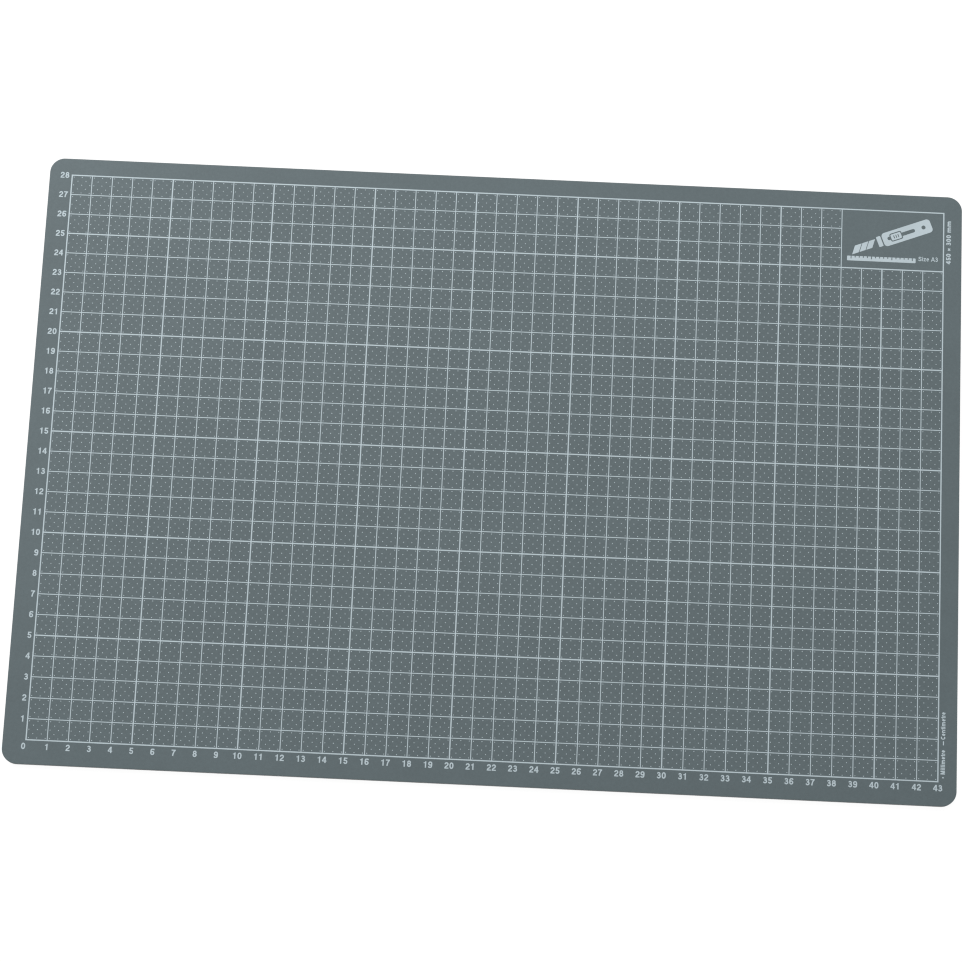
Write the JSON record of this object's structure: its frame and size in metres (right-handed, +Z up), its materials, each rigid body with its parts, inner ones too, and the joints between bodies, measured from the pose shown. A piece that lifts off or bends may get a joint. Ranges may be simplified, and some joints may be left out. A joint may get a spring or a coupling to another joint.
{
  "type": "self healing cutting mat",
  "caption": "Flat laminated cutting mat with rounded corners, a printed centimetre grid with millimetre dots, and numbered scales on two sides.",
  "frame": {"origin": "on the underside, at the middle of the mat", "axes": "+X along the long side towards the end of the printed scale, +Y along the short side up the printed scale, +Z up out of the printed face"},
  "size_m": [0.45, 0.3, 0.003],
  "materials": {
    "skin": "fine matt texture",
    "healing_layer": "satin cut edge",
    "core": "satin cut edge",
    "ink": "satin screen print"
  },
  "bodies": {
    "root": {"bottom_skin": "skin", "lower_healing_layer": "healing_layer", "core_sheet": "core", "upper_healing_layer": "healing_layer", "top_skin": "skin", "major_grid_ink": "ink"}
  },
  "joints": []
}
